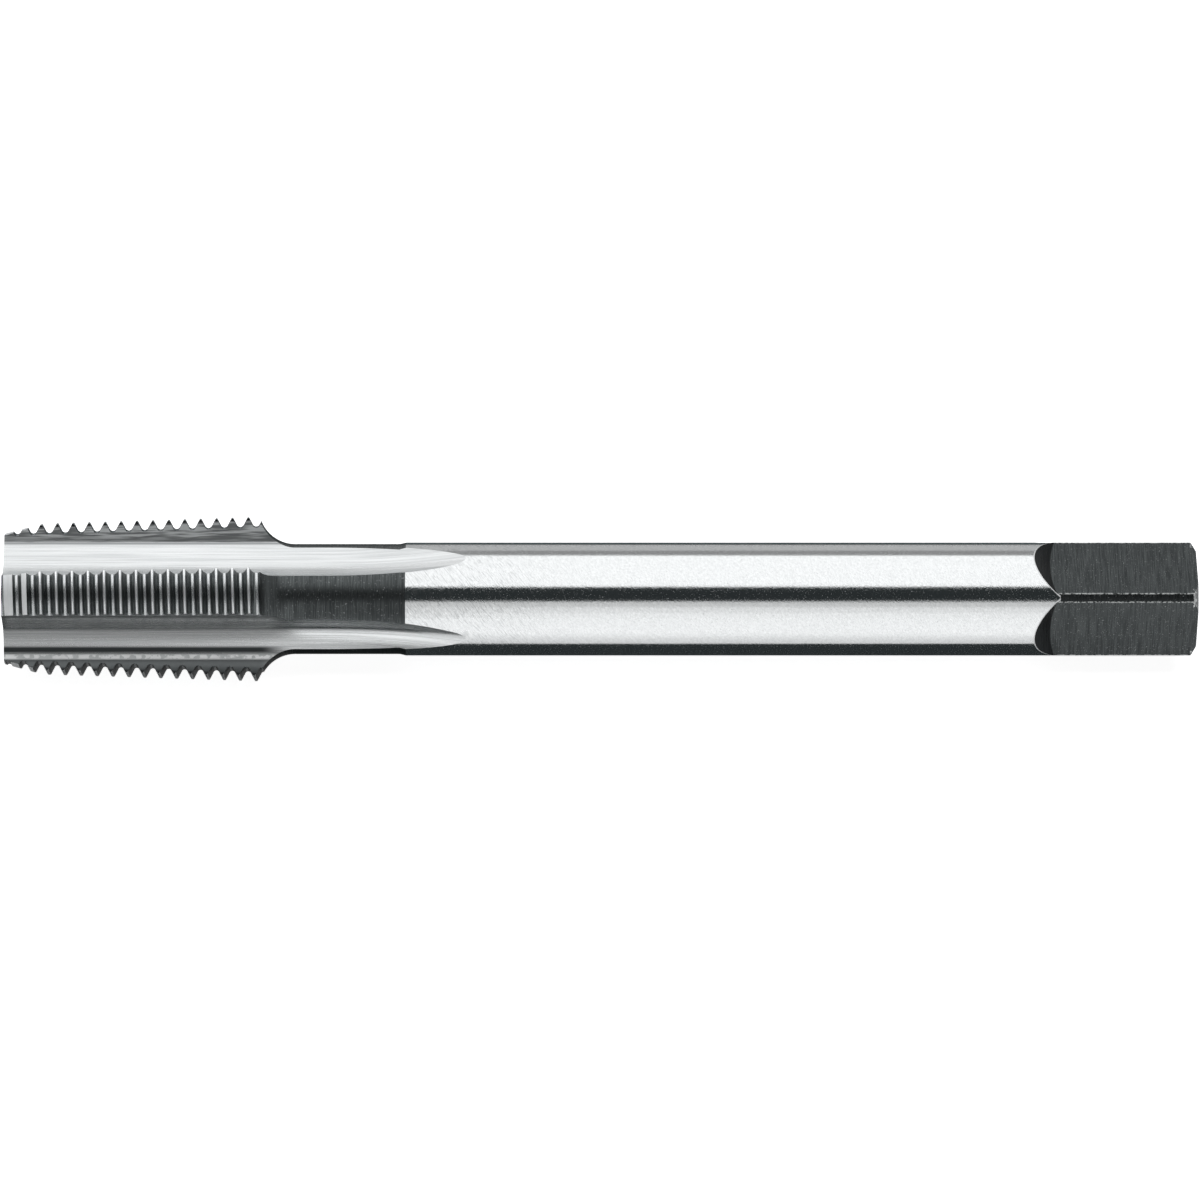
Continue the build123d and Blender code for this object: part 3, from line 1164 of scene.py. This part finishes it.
# %% World
ROOM_GLOW = 0.05
SIDE_GLOW = 0.6
SIDE_START, SIDE_END = 0.5, 0.75
world = bpy.data.worlds.new("studio")
bpy.context.scene.world = world
world.use_nodes = True
tree = world.node_tree
paths = add(tree, "ShaderNodeLightPath")
room = tree.nodes["Background"]
room.inputs["Color"].default_value = (1, 1, 1, 1)
sight = add(tree, "ShaderNodeSeparateXYZ")
tree.links.new(add(tree, "ShaderNodeTexCoord").outputs["Generated"], sight.inputs[0])
sideways = smooth_step(tree, math_node(tree, "ABSOLUTE", sight.outputs["X"]), SIDE_START, SIDE_END)
sideways = both(tree, sideways, paths.outputs["Is Glossy Ray"])
strength = math_node(tree, "MULTIPLY_ADD", sideways, SIDE_GLOW, ROOM_GLOW)
strength = math_node(tree, "MAXIMUM", paths.outputs["Is Camera Ray"], strength)
tree.links.new(strength, room.inputs["Strength"])
print("the room glows softly past both ends of the bar")

# %% Floor
FLOOR_GLOW = 0.74
FLOOR_SEEN_GLOW = 0.16
FLOOR_HALF = 1.5
floor_height = tap_low[2]
floor_material = bpy.data.materials.new("white_floor")
floor_material.use_nodes = True
tree = floor_material.node_tree
paper = tree.nodes["Principled BSDF"]
paper.inputs["Base Color"].default_value = (0.8, 0.8, 0.8, 1)
paper.inputs["Roughness"].default_value = 0.9
paper.inputs["Specular IOR Level"].default_value = 0.0
paper.inputs["Emission Color"].default_value = (1, 1, 1, 1)
paths = add(tree, "ShaderNodeLightPath")
seen = math_node(tree, "MAXIMUM", paths.outputs["Is Camera Ray"], paths.outputs["Is Glossy Ray"])
glow = math_node(tree, "MULTIPLY", seen, FLOOR_GLOW)
glow = math_node(tree, "MULTIPLY_ADD", paths.outputs["Is Camera Ray"], FLOOR_SEEN_GLOW, glow)
tree.links.new(glow, paper.inputs["Emission Strength"])
floor_corners = rectangle((-FLOOR_HALF, FLOOR_HALF), (-FLOOR_HALF, FLOOR_HALF), floor_height)
floor = solid("floor", floor_corners, [[0, 1, 2, 3]], [floor_material])
print("white floor at", round(floor_height / MM, 3), "mm")

# %% Cards on the floor
LIFT = 0.02 * MM


def floor_card(name, x_range, y_range, shade, tint=WHITE, reach=None, layer=1):
    """A card that lies on the floor."""
    card(name, rectangle(x_range, y_range, floor_height + LIFT * layer), shade, tint, reach)


nose_side, thread_end, neck, tail_side = -9 * MM, 24 * MM, 34 * MM, LENGTH + 12 * MM
thread_front, shank_front, square_front, teeth_front = -8.8 * MM, -7.2 * MM, -4.6 * MM, -4.3 * MM
square_rear, shank_rear, square_behind = 4.6 * MM, 9 * MM, 22 * MM
mid_rear, far_rear = 80 * MM, 400 * MM
thread_x, shank_x, square_x = (nose_side, neck), (neck, SQUARE_START), (SQUARE_START, LENGTH)
# The dark cards under the bar are painted shade, which the steel sees where the floor lies in the bar's
# shadow. card_below_thread and card_by_thread are painted shade on the floor by the thread too.
floor_card("card_under_thread", thread_x, (thread_front, shank_rear), 0.036, STEEL_BLUE)
floor_card("card_under_shank", shank_x, (shank_front, shank_rear), 0.038, STEEL_BLUE)
floor_card("card_under_square", square_x, (square_front, square_rear), 0.036, STEEL_BLUE)
floor_card("card_floor_behind", (nose_side, SQUARE_START), (shank_rear, mid_rear), 0.10, STEEL_BLUE)
floor_card("card_behind_square", (SQUARE_START, tail_side), (square_behind, mid_rear), 0.10, STEEL_BLUE)
floor_card("card_floor_far", (-200 * MM, 300 * MM), (mid_rear, far_rear), 0.5)
floor_card("card_below_thread", (nose_side, thread_end), (teeth_front, shank_rear), 0.12, layer=2)
floor_card("card_by_thread", (-60 * MM, thread_end), (-90 * MM, thread_front), 0.38)
# The grade is a painted shadow on the floor, darkest next to the bar.
shank_shadow_grade = (-6 * MM, -15 * MM, 1.28)
floor_card("card_by_shank", shank_x, (-18 * MM, shank_front), 0.86, reach=shank_shadow_grade)
bpy.context.scene.view_settings.view_transform = "Standard"
print("nine cards on the floor")

# %% Hand over to the frame
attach(tap, "root")
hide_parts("tap")
